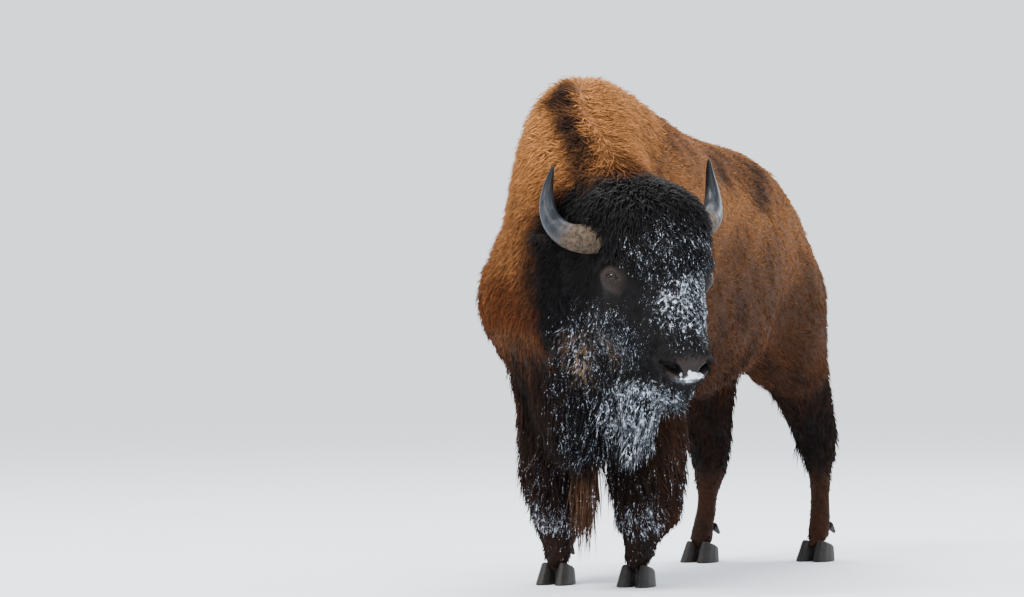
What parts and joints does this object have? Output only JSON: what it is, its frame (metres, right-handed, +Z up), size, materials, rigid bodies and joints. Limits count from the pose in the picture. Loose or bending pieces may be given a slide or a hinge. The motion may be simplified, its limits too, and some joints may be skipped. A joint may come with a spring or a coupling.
{
  "type": "bison",
  "caption": "Bison bull standing in its winter coat, with its heavy head low and turned to its left; a still life-size figure that stands on its hooves.",
  "frame": {"origin": "on the floor, under the middle of the model's bounding box", "axes": "+Z up; the hindquarters face -Y, so the body runs along Y; +X is the bull's own left, to which its head is turned"},
  "size_m": [1.165, 2.2528, 1.7132],
  "materials": {
    "coat": "dense curly hair, golden brown",
    "dark_coat": "long shaggy hair, nearly black",
    "face_coat": "long black hair with frost",
    "horn": "weathered grey horn, satin",
    "hoof": "dark hoof horn",
    "eye": "wet dark brown eye"
  },
  "bodies": {
    "root": {"trunk": "coat", "neck": "coat", "head": "face_coat", "tail": "dark_coat", "eye_left": "eye", "horn_left": "horn", "ear_left": "face_coat", "eye_right": "eye", "horn_right": "horn", "ear_right": "face_coat", "leg_front_left": "dark_coat", "hoof_front_left_outer": "hoof", "dewclaw_front_left_outer": "hoof", "hoof_front_left_inner": "hoof", "dewclaw_front_left_inner": "hoof", "leg_front_right": "dark_coat", "hoof_front_right_outer": "hoof", "dewclaw_front_right_outer": "hoof", "hoof_front_right_inner": "hoof", "dewclaw_front_right_inner": "hoof", "leg_hind_left": "dark_coat", "hoof_hind_left_outer": "hoof", "dewclaw_hind_left_outer": "hoof", "hoof_hind_left_inner": "hoof", "dewclaw_hind_left_inner": "hoof", "leg_hind_right": "dark_coat", "hoof_hind_right_outer": "hoof", "dewclaw_hind_right_outer": "hoof", "hoof_hind_right_inner": "hoof", "dewclaw_hind_right_inner": "hoof"}
  },
  "joints": []
}
